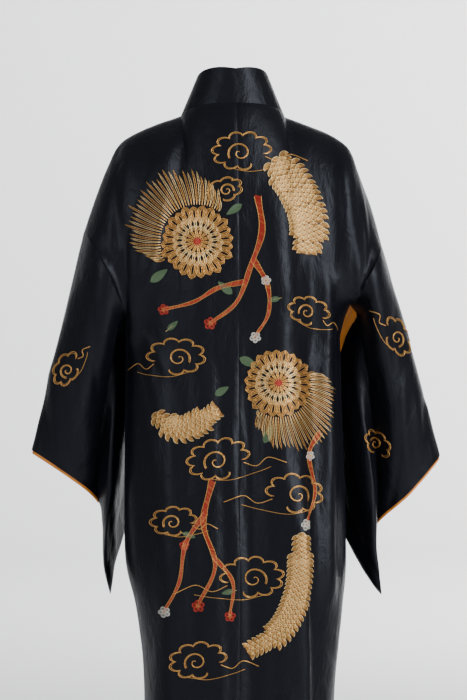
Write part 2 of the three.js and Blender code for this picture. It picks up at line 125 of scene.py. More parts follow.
# Soft rolls of the cloth, each from its upper end to its lower end; bow bends it sideways.
# inner is its width towards the robe's left side, outer towards its right, deep its height.
rollColumns = "x0 z0 x1 z1 bow inner outer deep"
backRolls = table(
    rollColumns,
    (100, -70, 163, -350, 0, 26, 12, 9),
    (-178, -90, -196, -330, 0, 30, 12, 10),
    (-62, -190, -78, -1380, 0, 34, 34, 13),
    (-96, -640, -112, -1380, 0, 22, 7, 11),
    (-148, -300, -146, -760, 0, 16, 12, 9),
    (120, -430, 86, -1380, 0, 24, 26, 8),
    (-18, -420, -20, -1380, 0, 16, 14, -6),
)
frontRolls = table(
    rollColumns,
    (96, -420, 84, -1380, 0, 26, 26, 6),
    (-104, -430, -96, -1380, 0, 26, 26, 6),
)

# Finer creases, from the photo on the back, and similar ones on the front and the sleeves.
backCreases = table(
    rollColumns,
    (88, -26, 165, -347, 34, 5, 15, 3.4),
    (72, -46, 150, -352, 32, 8, 18, -2.6),
    (186, -64, 191, -222, 3, 6, 9, -3.2),
    (165, -352, 158, -720, 4, 7, 14, 2.6),
    (132, -380, 124, -640, -5, 10, 12, -2),
    (64, -250, 44, -900, 7, 18, 24, 2.4),
    (30, -430, 14, -960, 3, 7, 10, -2.4),
    (2, -520, -16, -820, 2, 5, 8, -1.6),
    (-64, -120, -100, -690, -3, 26, 13, 3.4),
    (-100, -600, -118, -1390, 0, 22, 4, 4.6),
    (-120, -250, -126, -640, 4, 13, 11, -3),
    (-146, -290, -152, -580, 0, 10, 6, 3.2),
    (-180, -58, -200, -318, -16, 12, 5, 3.4),
    (-150, -60, -160, -300, -8, 16, 10, -3),
    (-168, -344, -116, -424, 4, 5, 6, 1.6),
    (-168, -352, -140, -500, 3, 4, 6, -1.3),
    (168, -344, 112, -436, -5, 5, 6, 1.7),
    (166, -356, 134, -520, -4, 5, 7, -1.4),
    (24, -12, 30, -70, 1, 4, 5, -0.8),
    (-38, -14, -46, -84, -1, 6, 5, 1),
    (112, -760, 120, -1390, 4, 16, 20, 3.2),
    (76, -700, 62, -1385, -3, 9, 12, -2.2),
    (-52, -820, -60, -1390, 2, 10, 13, -2.6),
    (24, -900, 30, -1390, 2, 14, 18, 2.4),
)
frontCreases = table(
    rollColumns,
    (118, -370, 92, -1000, 6, 12, 16, 3),
    (66, -300, 50, -820, -5, 10, 14, -2.2),
    (-120, -360, -98, -1120, -7, 14, 12, 3),
    (-62, -420, -44, -960, 4, 11, 9, -2.4),
    (24, -760, 30, -1390, 3, 13, 15, 2.6),
    (-140, -60, -120, -300, 5, 12, 8, 2.4),
    (142, -60, 116, -320, -6, 9, 12, 2.2),
    (150, -760, 132, -1390, 2, 10, 9, -2.4),
)
leftSleeveCreases = table(
    rollColumns,
    (286, -420, 272, -600, 4, 8, 12, 2.4),
    (262, -430, 246, -560, -4, 7, 9, -1.8),
    (254, -592, 222, -572, 0, 3, 4, -1.4),
    (256, -300, 292, -480, 5, 8, 10, 2),
    (226, -330, 216, -500, 3, 6, 8, -1.8),
    (196, -520, 190, -700, 2, 6, 7, 1.8),
    (298, -500, 306, -560, 0, 5, 6, -1.2),
)
rightSleeveCreases = table(
    rollColumns,
    (258, -300, 300, -520, 6, 11, 9, 2.6),
    (246, -360, 272, -560, 4, 8, 8, -2),
    (288, -440, 300, -600, -4, 7, 9, -1.6),
    (316, -480, 326, -566, 0, 6, 6, 1.4),
    (222, -380, 232, -560, 3, 6, 8, 1.8),
    (270, -560, 262, -650, 2, 5, 7, -1.4),
)
sleeveCreases = {"left": leftSleeveCreases, "right": rightSleeveCreases}

# Middle of each sleeve bag. along: 0 armhole, 1 cuff. down: 0 top fold, 1 bottom seam.
sleeveColumns = "along down x y z open"
rightSleeveSections = table(
    sleeveColumns,
    (0, 0, 239, 0, -222, 0),
    (0, 0.2, 219, 0, -275, 40),
    (0, 0.4, 204, -2, -329, 8),
    (0, 0.52, 179, -38, -378, 16),
    (0, 0.76, 175, -68, -492, 12),
    (0, 1, 168, -92, -620, 0),
    (0.5, 0, 292, -12, -396, 0),
    (0.5, 0.2, 266, -22, -470, 40),
    (0.5, 0.4, 236, -34, -542, 13),
    (0.5, 0.52, 224, -10, -582, 14),
    (0.5, 0.76, 208, -30, -650, 13),
    (0.5, 1, 198, -46, -714, 0),
    (1, 0, 342, -34, -565, 0),
    (1, 0.2, 292, -42, -622, 26),
    (1, 0.4, 242, -56, -672, 8),
    (1, 0.52, 236, -34, -704, 12),
    (1, 0.76, 239, -8, -754, 12),
    (1, 1, 241, 8, -788, 0),
)
leftSleeveSections = table(
    sleeveColumns,
    (0, 0, 238, 0, -206, 0),
    (0, 0.2, 209, 0, -278, 40),
    (0, 0.4, 184, -2, -353, 8),
    (0, 0.52, 175, -37, -402, 14),
    (0, 0.76, 170, -67, -522, 12),
    (0, 1, 164, -92, -654, 0),
    (0.5, 0, 280, -12, -384, 0),
    (0.5, 0.2, 252, -22, -460, 40),
    (0.5, 0.4, 212, -34, -542, 13),
    (0.5, 0.52, 198, -10, -590, 14),
    (0.5, 0.76, 194, -30, -662, 13),
    (0.5, 1, 184, -46, -730, 0),
    (1, 0, 320, -34, -555, 0),
    (1, 0.2, 262, -42, -594, 26),
    (1, 0.4, 212, -54, -636, 8),
    (1, 0.52, 206, -34, -676, 12),
    (1, 0.76, 206, -8, -738, 12),
    (1, 1, 197, 8, -785, 0),
)
sleeveSections = {"left": leftSleeveSections, "right": rightSleeveSections}
# How far the open inner edge of each sleeve bag leans.
innerEdgeLean = {"left": 0.12, "right": 0.4}


def mix(a, b, t):
    return a + (b - a) * t


def ease(low, high, value):
    t = min(1, max(0, (value - low) / (high - low)))
    return t * t * (3 - 2 * t)


def readTable(rows, key, column, value):
    i = 0
    while i < len(rows) - 2 and value > rows[i + 1][key]:
        i += 1
    before, low = rows[max(0, i - 1)], rows[i]
    high, after = rows[i + 1], rows[min(len(rows) - 1, i + 2)]
    step = high[key] - low[key]
    t = min(1, max(0, (value - low[key]) / step))
    slopeLow = (high[column] - before[column]) / (high[key] - before[key]) * step
    slopeHigh = (after[column] - low[column]) / (after[key] - low[key]) * step
    t2, t3 = t * t, t * t * t
    return ((2 * t3 - 3 * t2 + 1) * low[column] + (t3 - 2 * t2 + t) * slopeLow
            + (3 * t2 - 2 * t3) * high[column] + (t3 - t2) * slopeHigh)


def rollHeight(rolls, x, z):
    total = 0
    for roll in rolls:
        t = (z - roll["z0"]) / (roll["z1"] - roll["z0"])
        if t < -0.13 or t > 1.16:
            continue
        held = min(1, max(0, t))
        crest = mix(roll["x0"], roll["x1"], held) + roll["bow"] * math.sin(math.pi * held)
        width = roll["inner"] if x > crest else roll["outer"]
        reach = ease(-0.12, 0.12, t) * (1 - ease(1.0, 1.15, t))
        total += roll["deep"] * reach * math.exp(-((x - crest) / width) ** 2)
    return total


def bodyPoint(side, angle, z):
    turn = math.radians(angle)
    sine, cosine = math.sin(turn), math.cos(turn)
    power = 2 / robe["bodySquareness"]
    across = side * math.copysign(abs(sine) ** power, sine)
    along = math.copysign(abs(cosine) ** power, cosine)
    halfWidth = readTable(bodySections, "z", "left" if across > 0 else "right", z)
    depth = readTable(bodySections, "z", "back" if cosine > 0 else "front", z)
    x, y = across * halfWidth, along * depth
    out = Vector((x / halfWidth ** 2, y / depth ** 2, 0)).normalized()
    if cosine > 0:
        move = rollHeight(backRolls, x, z) * ease(0, 45, y)
    else:
        move = rollHeight(frontRolls, x, z) * ease(0, 45, -y)
        move += side * robe["layerGap"] * (1 - ease(60, 135, x * side))
    lift = -robe["underarmTilt"] * across * ease(-600, robe["underarmHeight"], z)
    return Vector((x + out.x * move, y + out.y * move, z + lift))


def nameOf(side):
    return "left" if side > 0 else "right"


# Seam of body and sleeve: turn 0 at the shoulder, pi under the arm; layer 1 back, -1 front.
def armholePoint(side, turn, layer, lowest=0):
    top = sleeveSections[nameOf(side)][0]
    bottom = bodyPoint(side, 90, robe["underarmHeight"])
    share = (1 - math.cos(turn)) / 2
    low = math.pi * 8 / 9
    held = min(turn, low)
    opening = robe["armholeDepth"] * math.sin(held)
    opening += robe["underarmOpening"] * (1 - math.cos(held)) / 2
    if turn > low:
        opening = mix(lowest, opening, (math.pi - turn) / (math.pi - low))
    x = mix(side * top["x"], bottom.x, share)
    return Vector((x, layer * opening, mix(top["z"], bottom.z, share)))


# Upper edge of the back: share 0 to 0.3 is the neck seam, from there to 1 the shoulder fold.
def topPoint(side, share):
    if share <= 0.3:
        turn = share / 0.3 * math.pi / 2
        drop = robe["neckDrop"] * (1 - math.cos(turn)) ** 1.2
        x = side * robe["neckHalfWidth"] * math.sin(turn)
        return Vector((x, robe["napeDepth"] * math.cos(turn), -drop))
    part = (share - 0.3) / 0.7
    seam = sleeveSections[nameOf(side)][0]
    fit = part ** 3
    return Vector((
        side * mix(readTable(shoulderLine, "share", "x", part), seam["x"], fit),
        mix(readTable(shoulderLine, "share", "y", part), 0, fit),
        mix(readTable(shoulderLine, "share", "z", part), seam["z"], fit),
    ))


# How far a row has climbed from the underarm, at the middle and at the armhole.
def climbs(rowShare):
    return math.sin(rowShare * math.pi / 2), (1 - math.cos(rowShare * math.pi)) / 2


def yokeBackPoint(side, share, rowShare):
    rise, armRise = climbs(rowShare)
    start = bodyPoint(side, 90 * share, robe["underarmHeight"])
    end = topPoint(side, share)
    climb = mix(rise, armRise, ease(0.5, 1, share))
    bend = mix(0.8, 0.5, ease(0.1, 0.4, share))
    bulge = armholePoint(side, math.pi * (1 - rowShare), 1).y * share ** 3
    x, z = mix(start.x, end.x, climb), mix(start.z, end.z, climb)
    fall = max(0, 1 - rise ** 3) ** bend
    y = end.y + (start.y - end.y) * fall + bulge
    soft = (1 - ease(0.85, 1, rowShare)) * (1 - ease(0.8, 1, share))
    roll = rollHeight(backRolls, x, z) - rollHeight(backRolls, start.x, start.z) * fall
    return Vector((x, y + roll * soft, z))


def yokeFrontPoint(side, share, rowShare):
    rise, armRise = climbs(rowShare)
    start = bodyPoint(side, mix(90, robe["frontEdgeAngle"], share), robe["underarmHeight"])
    end = topPoint(side, 1 - share * 0.7)
    climb = mix(armRise, rise, ease(0, 0.5, share))
    bulge = armholePoint(side, math.pi * (1 - rowShare), -1).y * (1 - share) ** 3
    y = end.y + (start.y - end.y) * max(0, 1 - rise ** 3) ** 0.5 + bulge
    return Vector((mix(start.x, end.x, climb), y, mix(start.z, end.z, climb)))


def overlapEdge(z):
    return robe["frontEdgeAngle"] + 2 + robe["overlapAngle"] * ease(
        robe["underarmHeight"] + 60, robe["collarEndHeight"] - 60, z)


def bagMiddle(rows, along, down):
    weights = ((along - 0.5) * (along - 1) * 2, along * (1 - along) * 4, along * (along - 0.5) * 2)
    sums = [0, 0, 0, 0]
    for weight, part in zip(weights, (rows[:6], rows[6:12], rows[12:])):
        for k, column in enumerate(("x", "y", "z", "open")):
            sums[k] += weight * readTable(part, "down", column, down)
    return Vector(sums[:3]), max(sums[3], 0)


def sleevePoint(side, along, down, armTurn, layer):
    if along == 0 and armTurn is not None:
        return armholePoint(side, armTurn, layer, robe["underarmOpening"])
    rows = sleeveSections[nameOf(side)]
    point, opening = bagMiddle(rows, along, down)
    free = innerEdgeLean[nameOf(side)] * ease(0.36, 0.46, down) * (1 - ease(0, 0.35, along))
    lean = mix(free, robe["bagLean"] * (1 - ease(0.2, 0.65, along)), ease(0.52, 0.72, down))
    direction = Vector((lean, 1, 0)).normalized()
    half = max(opening, robe["bagOpening"]) if layer else 0
    if armTurn is not None:
        room = mix(robe["armholeDepth"], robe["upperArmDepth"], ease(0, 0.5, along))
        room = mix(room, robe["cuffDepth"], ease(0.5, 1, along))
        low = bagMiddle(rows, along, robe["armShare"])[1]
        soft = mix(1, 1.9, ease(0, 0.35, along)) if armTurn > math.pi / 2 else 1
        half = room * max(0, math.sin(armTurn)) ** soft + low * (1 - math.cos(armTurn)) / 2
    made = point + direction * (layer * half)
    return Vector((side * made.x, made.y, made.z))


def addObject(name, data):
    made = bpy.data.objects.new(name, data)
    bpy.context.collection.objects.link(made)
    return made


# The plain mesh that an object's modifiers leave. The object itself goes.
def takeMesh(source, name):
    mesh = bpy.data.meshes.new_from_object(source.evaluated_get(bpy.context.evaluated_depsgraph_get()))
    bpy.data.objects.remove(source)
    mesh.name = name
    return mesh


def smooth(mesh):
    for polygon in mesh.polygons:
        polygon.use_smooth = True


def addPiece(name, mesh):
    smooth(mesh)
    piece = addObject(name, mesh)
    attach(piece, "root")
    return piece


# One surface of several cloths, to lay thread on.
def surfaceOf(cloths):
    whole = bmesh.new()
    for cloth in cloths:
        whole.from_mesh(cloth.data)
    surface = BVHTree.FromBMesh(whole)
    whole.free()
    return surface


# One cloth piece, gathered from grids whose edges are merged where they meet.
class Cloth:
    def __init__(self, name, wall):
        self.name, self.wall = name, wall
        self.mesh = bmesh.new()
        self.uv = self.mesh.loops.layers.uv.new("weave")

    def addGrid(self, makePoint, us, vs, flip, uvOf):
        places = [[self.mesh.verts.new(makePoint(u, v)) for v in vs] for u in us]
        for i in range(len(us) - 1):
            for j in range(len(vs) - 1):
                corners = [(i, j), (i, j + 1), (i + 1, j + 1), (i + 1, j)]
                if flip:
                    corners.reverse()
                face = self.mesh.faces.new([places[a][b] for a, b in corners])
                for loop, (a, b) in zip(face.loops, corners):
                    loop[self.uv].uv = uvOf(us[a], vs[b])

    # Merges the grids, presses the creases in and moves the piece into the shared frame.
    def shape(self, creaseAt, inset=0, evened=False):
        bmesh.ops.remove_doubles(self.mesh, verts=self.mesh.verts, dist=0.02)
        bmesh.ops.dissolve_degenerate(self.mesh, edges=self.mesh.edges, dist=0.01)
        self.mesh.normal_update()
        # The chest and the body run on into each other without a bend.
        if evened:
            joint = [v for v in self.mesh.verts
                     if abs(v.co.z - robe["underarmHeight"]) < 34 and not v.is_boundary]
            for repeat in range(30):
                bmesh.ops.smooth_vert(self.mesh, verts=joint, factor=0.5, use_axis_x=True, use_axis_y=True)
            self.mesh.normal_update()
        moves = [(v, v.normal * (creaseAt(v.co, v.normal) - inset)) for v in self.mesh.verts]
        for v, move in moves:
            v.co += move
        for v in self.mesh.verts:
            v.co = (v.co + toNape) * 0.001

    # Gives the cloth its wall and makes the object.
    def finish(self, material, replaced):
        data = bpy.data.meshes.new(self.name)
        self.mesh.to_mesh(data)
        self.mesh.free()
        thin = addObject(self.name + ".thin", data)
        wall = thin.modifiers.new("wall", "SOLIDIFY")
        wall.thickness = self.wall * 0.001
        wall.offset = 0
        made = takeMesh(thin, self.name)
        made.materials.clear()
        made.materials.append(material)
        made.set_sharp_from_angle(angle=math.radians(55))
        piece = addPiece(self.name, made)
        for node in replaced:
            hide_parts(node)
        return piece


def evenShares(count):
    return [i / count for i in range(count + 1)]


# Shares from 0 to 1, closer together near a seam.
def spread(count, fineHigh=True):
    near = [0.12 / count, 0.35 / count]
    return sorted(evenShares(count) + near + ([1 - share for share in near] if fineHigh else []))


def wrinkle(point, seed):
    place = Vector((point.x / 26, point.y / 40 + seed, point.z / 95))
    fine = Vector((point.x / 11, point.y / 30 + seed, point.z / 34))
    return robe["wrinkleDepth"] * (noise.noise(place) + 0.35 * noise.noise(fine))


def seamDip(distance):
    return -robe["seamDip"] * math.exp(-(distance / 1.6) ** 2)


def bodyCrease(point, normal):
    creases = backCreases if normal.y > 0 else frontCreases
    height = wrinkle(point, 3) + rollHeight(creases, point.x, point.z) * ease(0, 0.35, abs(normal.y))
    # It lies flat where the collar and the sleeves are sewn on.
    neckEdge = 1 - math.exp(-(max(0, (point - Vector((0, 0, -8))).length - 86) / 30) ** 2)
    centre = abs(point.x) if point.y > 0 else 99
    return height * neckEdge + seamDip(centre)


def sleeveCrease(side):
    rows = sleeveCreases[nameOf(side)]

    def creaseAt(point, normal):
        height = wrinkle(point, 9 * side)
        height += rollHeight(rows, side * point.x, point.z) * ease(0, 0.3, abs(normal.y))
        top = sleeveSections[nameOf(side)][0]
        return height * ease(0, 40, top["z"] + 30 - point.z + abs(point.x) - top["x"])

    return creaseAt


def bodyHeight(share):
    return mix(robe["hemHeight"], robe["underarmHeight"], share)


def makeBody(side, material):
    cloth = Cloth("silk_body_" + nameOf(side), robe["silkWall"])
    rows, yoke = evenShares(grid["bodyRows"]), evenShares(grid["yokeRows"])
    halves = (
        (spread(grid["backColumns"]), 0, 90, yokeBackPoint, 0),
        (spread(grid["frontColumns"], False), 90, robe["frontEdgeAngle"], yokeFrontPoint, 0.2),
    )
    for shares, start, end, yokePoint, across in halves:
        cloth.addGrid(lambda u, v: bodyPoint(side, mix(start, end, u), bodyHeight(v)), shares, rows, side < 0,
                      lambda u, v: (side * (across + u * 0.2), bodyHeight(v) * 0.001))
    for shares, start, end, yokePoint, across in halves:
        cloth.addGrid(lambda u, v: yokePoint(side, u, v), shares, yoke, side < 0,
                      lambda u, v: (side * (across + u * 0.2), robe["underarmHeight"] * 0.001 + v * 0.34))
    cloth.shape(bodyCrease, evened=True)
    return cloth.finish(material, ["back_" + nameOf(side), "front_" + nameOf(side)])


def makeOverlap(side, material):
    cloth = Cloth("silk_overlap_" + nameOf(side), robe["silkWall"])

    def at(u, v):
        z = bodyHeight(v)
        return bodyPoint(side, mix(robe["frontEdgeAngle"], overlapEdge(z), u), z)

    cloth.addGrid(at, spread(grid["overlapColumns"]), evenShares(grid["bodyRows"]), side < 0,
                  lambda u, v: (side * (0.4 + u * 0.1), bodyHeight(v) * 0.001))
    cloth.shape(bodyCrease)
    return cloth.finish(material, ["overlap_" + nameOf(side)])


def collarRun(side):
    run = []
    for i in range(13):
        turn = i / 12 * math.pi / 2
        lean = Vector((-side * 0.42 * math.sin(turn), -0.14 * math.cos(turn), 1)).normalized()
        run.append({"seam": topPoint(side, 0.3 * i / 12), "lean": lean,
                    "width": mix(robe["collarBackHeight"], robe["collarSideHeight"], math.sin(turn))})
    for i in range(35, -1, -1):
        share = i / 36
        run.append({"seam": yokeFrontPoint(side, 1, share), "inner": yokeFrontPoint(side, 0.94, share)})
    z = robe["underarmHeight"] - 8
    while z > robe["collarEndHeight"]:
        run.append({"seam": bodyPoint(side, overlapEdge(z), z), "height": z})
        z -= 8
    return run


def collarPoint(side, run, place, share):
    here = run[place]
    seam = here["seam"]
    tangent = (run[min(len(run) - 1, place + 1)]["seam"] - run[max(0, place - 1)]["seam"]).normalized()
    reach = share * here.get("width", robe["collarWidth"])
    if "lean" in here:
        return seam + here["lean"] * reach
    if "height" in here:
        slope = Vector((-side, 0, 0))
        up = slope.cross(tangent).cross(tangent).normalized()
        if up.dot(slope) < 0:
            up.negate()
        z = here["height"] + up.z * reach
        arc = math.hypot(up.x, up.y) * reach
        angle = overlapEdge(here["height"])
        step = (bodyPoint(side, angle + 1, z) - bodyPoint(side, angle, z)).length
        return bodyPoint(side, angle + arc / step, z)
    flat = seam - here["inner"]
    flat = (flat - tangent * flat.dot(tangent)).normalized()
    turn = ease(-15, -130, seam.z)
    direction = run[12]["lean"].lerp(flat, turn).normalized()
    return seam + direction * reach + Vector((0, reach * reach / 540 * turn, 0))


# Where the band is pressed at the back, and how deep.
collarPresses = ((-2, -1.2), (-37, -1.4), (22, 0.5))


def makeCollar(material):
    cloth = Cloth("silk_collar", robe["collarWall"])
    runs = {1: collarRun(1), -1: collarRun(-1)}
    last = len(runs[1]) - 1
    places = list(range(-last, last + 1))
    shares = spread(grid["collarColumns"])
    points = {}
    for place in places:
        side = 1 if place >= 0 else -1
        for share in shares:
            points[place, share] = collarPoint(side, runs[side], abs(place), share)
    # The band runs on in one soft line where the chest meets the overlap.
    for repeat in range(60):
        for share in shares[1:]:
            old = [points[place, share].copy() for place in places]
            for k in range(1, len(places) - 1):
                near = ease(-180, -260, old[k].z) * (1 - ease(-430, -520, old[k].z)) * min(1, share * 2)
                points[places[k], share] = old[k].lerp((old[k - 1] + old[k + 1]) / 2, 0.5 * near)

    def creaseAt(point, normal):
        if point.y < 20:
            return 0.25 * wrinkle(point, 5)
        rise = ease(8, 22, point.z) * (1 - ease(46, 56, point.z))
        press = sum(deep * math.exp(-((point.x - x) / 2.4) ** 2) for x, deep in collarPresses)
        return press * rise + 0.3 * wrinkle(point, 5)

    cloth.addGrid(lambda u, v: points[u, v], places, shares, False, lambda u, v: (v * 0.058, u * 0.008))
    cloth.shape(creaseAt)
    return cloth.finish(material, ["collar"])


# Columns run from the top fold round the arm, then down the hanging part to its bottom seam.
def sleeveGrid(cloth, side, bagRows=1.0, bagColumns=1.0, rim=0, inner=0):
    armCount, bagCount = grid["armColumns"], grid["bagColumns"]
    last = armCount + bagCount
    rows = evenShares(grid["sleeveRows"])
    bagEnd = armCount + round(bagColumns * bagCount)

    def at(u, v, layer):
        if u <= armCount:
            armTurn = math.pi * u / armCount
            down = robe["armShare"] * (1 - math.cos(armTurn)) / 2
        else:
            armTurn, down = None, mix(robe["armShare"], 1, (u - armCount) / bagCount)
        closed = u == 0 or u == last or (v == 1 and u > armCount)
        return sleevePoint(side, v, down, armTurn, 0 if closed else layer)

    def rimmed(u, v, layer):
        point = at(u, v, layer)
        if rim and v == 1:
            point += (point - at(u, 0.98, layer)).normalized() * rim
        if inner and v == 0 and u > armCount:
            low = ease(0.1, 0.5, (u - armCount) / bagCount)
            point.x -= side * inner * mix(1, 0.2, low)
        return point

    blocks = [
        (range(armCount + 1), rows),
        (range(armCount, bagEnd + 1), [row for row in rows if row <= bagRows]),
    ]
    for layer in (1, -1):
        for us, vs in blocks:
            cloth.addGrid(lambda u, v: rimmed(u, v, layer), us, vs, (layer > 0) != (side > 0),
                          lambda u, v: (0.5 + side * v * 0.34, layer * u / last * 0.5))


def makeSleeve(side, material):
    cloth = Cloth("silk_sleeve_" + nameOf(side), robe["silkWall"])
    sleeveGrid(cloth, side, inner=robe["sleeveHem"][nameOf(side)])
    cloth.shape(sleeveCrease(side))
    return cloth.finish(material, ["sleeve_" + nameOf(side)])


# The lining follows the sleeve inside and stands a little proud of its open cuff.
def makeLining(side, material):
    cloth = Cloth("silk_lining_" + nameOf(side), robe["liningWall"])
    sleeveGrid(cloth, side, robe["liningRows"], robe["liningColumns"], robe["liningRim"],
               robe["liningHem"][nameOf(side)])
    cloth.shape(sleeveCrease(side), robe["liningInset"])
    return cloth.finish(material, ["lining_" + nameOf(side)])


# Plain values are set on a node's own inputs, and outputs of other nodes are joined to them.
def fillInputs(tree, node, inputs):
    for key, value in inputs.items():
        if isinstance(value, bpy.types.NodeSocket):
            tree.links.new(value, node.inputs[key])
        else:
            node.inputs[key].default_value = value


# Returns the new node's outputs.
def addNode(tree, kind, inputs=None, **settings):
    node = tree.nodes.new(kind)
    for key, value in settings.items():
        setattr(node, key, value)
    fillInputs(tree, node, inputs or {})
    return node.outputs


def newMaterial(name):
    material = bpy.data.materials.new(name)
    material.use_nodes = True
    return material, material.node_tree, material.node_tree.nodes["Principled BSDF"]


def mixColours(tree, factor, first, second):
    first, second = (colour if isinstance(colour, bpy.types.NodeSocket) else (*colour, 1)
                     for colour in (first, second))
    mixed = addNode(tree, "ShaderNodeMix", {"A": first, "B": second, "Factor": factor}, data_type="RGBA")
    return mixed["Result"]


def calculate(tree, operation, *values):
    return addNode(tree, "ShaderNodeMath", dict(enumerate(values)), operation=operation)["Value"]


# nap is the fine fuzz that catches light along the edges of the form.
silks = {
    "blackSilk": {
        "base": (0.004, 0.004, 0.006), "roughness": 0.36, "shine": 0.24, "shineColour": (0.82, 0.88, 1.0),
        "nap": 0.04, "napColour": (0.5, 0.58, 0.85), "weft": 1500, "crumple": 0.003,
    },
    "orangeSilk": {
        "base": (0.80, 0.26, 0.03), "roughness": 0.5, "shine": 0.4, "shineColour": (1.0, 1.0, 1.0),
        "nap": 0.1, "napColour": (1.0, 0.8, 0.6), "weft": 1200, "crumple": 0.003,
    },
}


def silkMaterial(name):
    silk = silks[name]
    material, tree, shader = newMaterial(name)

    def threads(place, scale, detail):
        stretched = addNode(tree, "ShaderNodeMapping", {"Vector": place, "Scale": scale})["Vector"]
        noisy = addNode(tree, "ShaderNodeTexNoise", {"Vector": stretched, "Scale": 1.0, "Detail": detail})
        return noisy["Fac"]

    # The shine fades towards the edges of the form, as on matt-backed silk.
    facing = addNode(tree, "ShaderNodeLayerWeight", {"Blend": 0.4})["Facing"]
    fade = addNode(tree, "ShaderNodeMapRange",
                   {"Value": facing, "To Min": silk["shine"], "To Max": silk["shine"] * 0.05})["Result"]
    # Slubs are long faint streaks along the warp, and the weft is close cross threads.
    place = addNode(tree, "ShaderNodeUVMap", uv_map="weave")["UV"]
    slub = threads(place, (900, 14, 1), 3)
    both = calculate(tree, "ADD", slub, threads(place, (60, silk["weft"], 1), 2))
    weave = addNode(tree, "ShaderNodeBump", {"Strength": 0.35, "Distance": 0.0004, "Height": both})["Normal"]
    # Crumple: the soft dents that worn silk keeps, two fingers apart and less.
    where = addNode(tree, "ShaderNodeTexCoord")["Object"]
    long = addNode(tree, "ShaderNodeMapping", {"Vector": where, "Scale": (1.0, 1.0, 0.55)})["Vector"]
    dents = addNode(tree, "ShaderNodeTexNoise", {
        "Vector": long, "Scale": 48, "Detail": 4, "Roughness": 0.55, "Distortion": 0.7})["Fac"]
    crumpled = addNode(tree, "ShaderNodeBump", {
        "Strength": 0.6, "Distance": silk["crumple"], "Height": dents, "Normal": weave})["Normal"]
    dark, light = [c * 0.75 for c in silk["base"]], [min(1, c * 1.3) for c in silk["base"]]
    fillInputs(tree, shader, {
        "Base Color": mixColours(tree, slub, dark, light), "Roughness": silk["roughness"],
        "Specular IOR Level": fade, "Specular Tint": (*silk["shineColour"], 1), "Normal": crumpled,
        "Sheen Weight": silk["nap"], "Sheen Roughness": 0.35, "Sheen Tint": (*silk["napColour"], 1)})
    return material


# couching is the colour of the small stitches that hold laid cord down.
threadLooks = table(
    "slot name base metal roughness couching",
    ("gold_thread", "goldThread", (0.86, 0.47, 0.13), 0.7, 0.3, (0.45, 0.12, 0.04)),
    ("pale_gold_thread", "paleGoldThread", (1.0, 0.72, 0.32), 0.65, 0.28, (0.62, 0.30, 0.10)),
    ("red_thread", "redThread", (0.52, 0.035, 0.015), 0, 0.42, None),
    ("orange_thread", "orangeThread", (0.66, 0.16, 0.04), 0, 0.42, None),
    ("green_thread", "greenThread", (0.10, 0.17, 0.08), 0, 0.5, None),
    ("white_thread", "whiteThread", (0.78, 0.74, 0.66), 0, 0.5, None),
    ("seam_thread", "seamThread", (0.02, 0.021, 0.026), 0, 0.5, None),
)


# Twisted thread has fine bands along its length: the darker part of each band is painted shade where the
# twist's grooves would be.
def threadMaterial(look):
    material, tree, shader = newMaterial(look["name"])
    along = addNode(tree, "ShaderNodeAttribute", attribute_name="along")["Fac"]
    wave = calculate(tree, "SINE", calculate(tree, "MULTIPLY", along, sewing["twist"]))
    shade = addNode(tree, "ShaderNodeMapRange", {"Value": wave, "From Min": -1})["Result"]
    # Painted shade: the colour falls to 0.7 of the base between the plies of the twist.
    colour = mixColours(tree, shade, [c * 0.7 for c in look["base"]], look["base"])
    if look["couching"]:
        place = calculate(tree, "MODULO", along, sewing["couchSpacing"] * 0.001)
        held = calculate(tree, "LESS_THAN", place, sewing["couchWidth"] * 0.001)
        colour = mixColours(tree, held, colour, look["couching"])
    fillInputs(tree, shader, {
        "Base Color": colour, "Metallic": look["metal"], "Roughness": look["roughness"]})
    return material


# A tree takes paths, the edges of a mesh, as curves and ends in real, painted geometry.
def startTree(name, inputs, result):
    tree = bpy.data.node_groups.new(name, "GeometryNodeTree")
    for label, kind in {"Paths": "Geometry", **inputs, "Material": "Material"}.items():
        tree.interface.new_socket(label, in_out="INPUT", socket_type="NodeSocket" + kind)
    tree.interface.new_socket(result, in_out="OUTPUT", socket_type="NodeSocketGeometry")
    given = addNode(tree, "NodeGroupInput")
    return tree, given, addNode(tree, "GeometryNodeMeshToCurve", {"Mesh": given["Paths"]})["Curve"]


def endTree(tree, given, made, result):
    real = addNode(tree, "GeometryNodeRealizeInstances", {"Geometry": made})["Geometry"]
    paint = addNode(tree, "GeometryNodeSetMaterial", {"Geometry": real, "Material": given["Material"]})
    addNode(tree, "NodeGroupOutput", {result: paint["Geometry"]})
    return tree


# Thread laid along a path, round and of one size.
def threadTree():
    tree, given, curve = startTree("laidThread", {"Radius": "Float", "Sides": "Int"}, "Threads")
    length = addNode(tree, "GeometryNodeSplineParameter")["Length"]
    measured = addNode(tree, "GeometryNodeStoreNamedAttribute", {
        "Geometry": curve, "Name": "along", "Value": length}, data_type="FLOAT", domain="POINT")["Geometry"]
    profile = addNode(tree, "GeometryNodeCurvePrimitiveCircle", {
        "Radius": given["Radius"], "Resolution": given["Sides"]})["Curve"]
    tube = addNode(tree, "GeometryNodeCurveToMesh", {
        "Curve": measured, "Profile Curve": profile, "Fill Caps": True})["Mesh"]
    return endTree(tree, given, tube, "Threads")


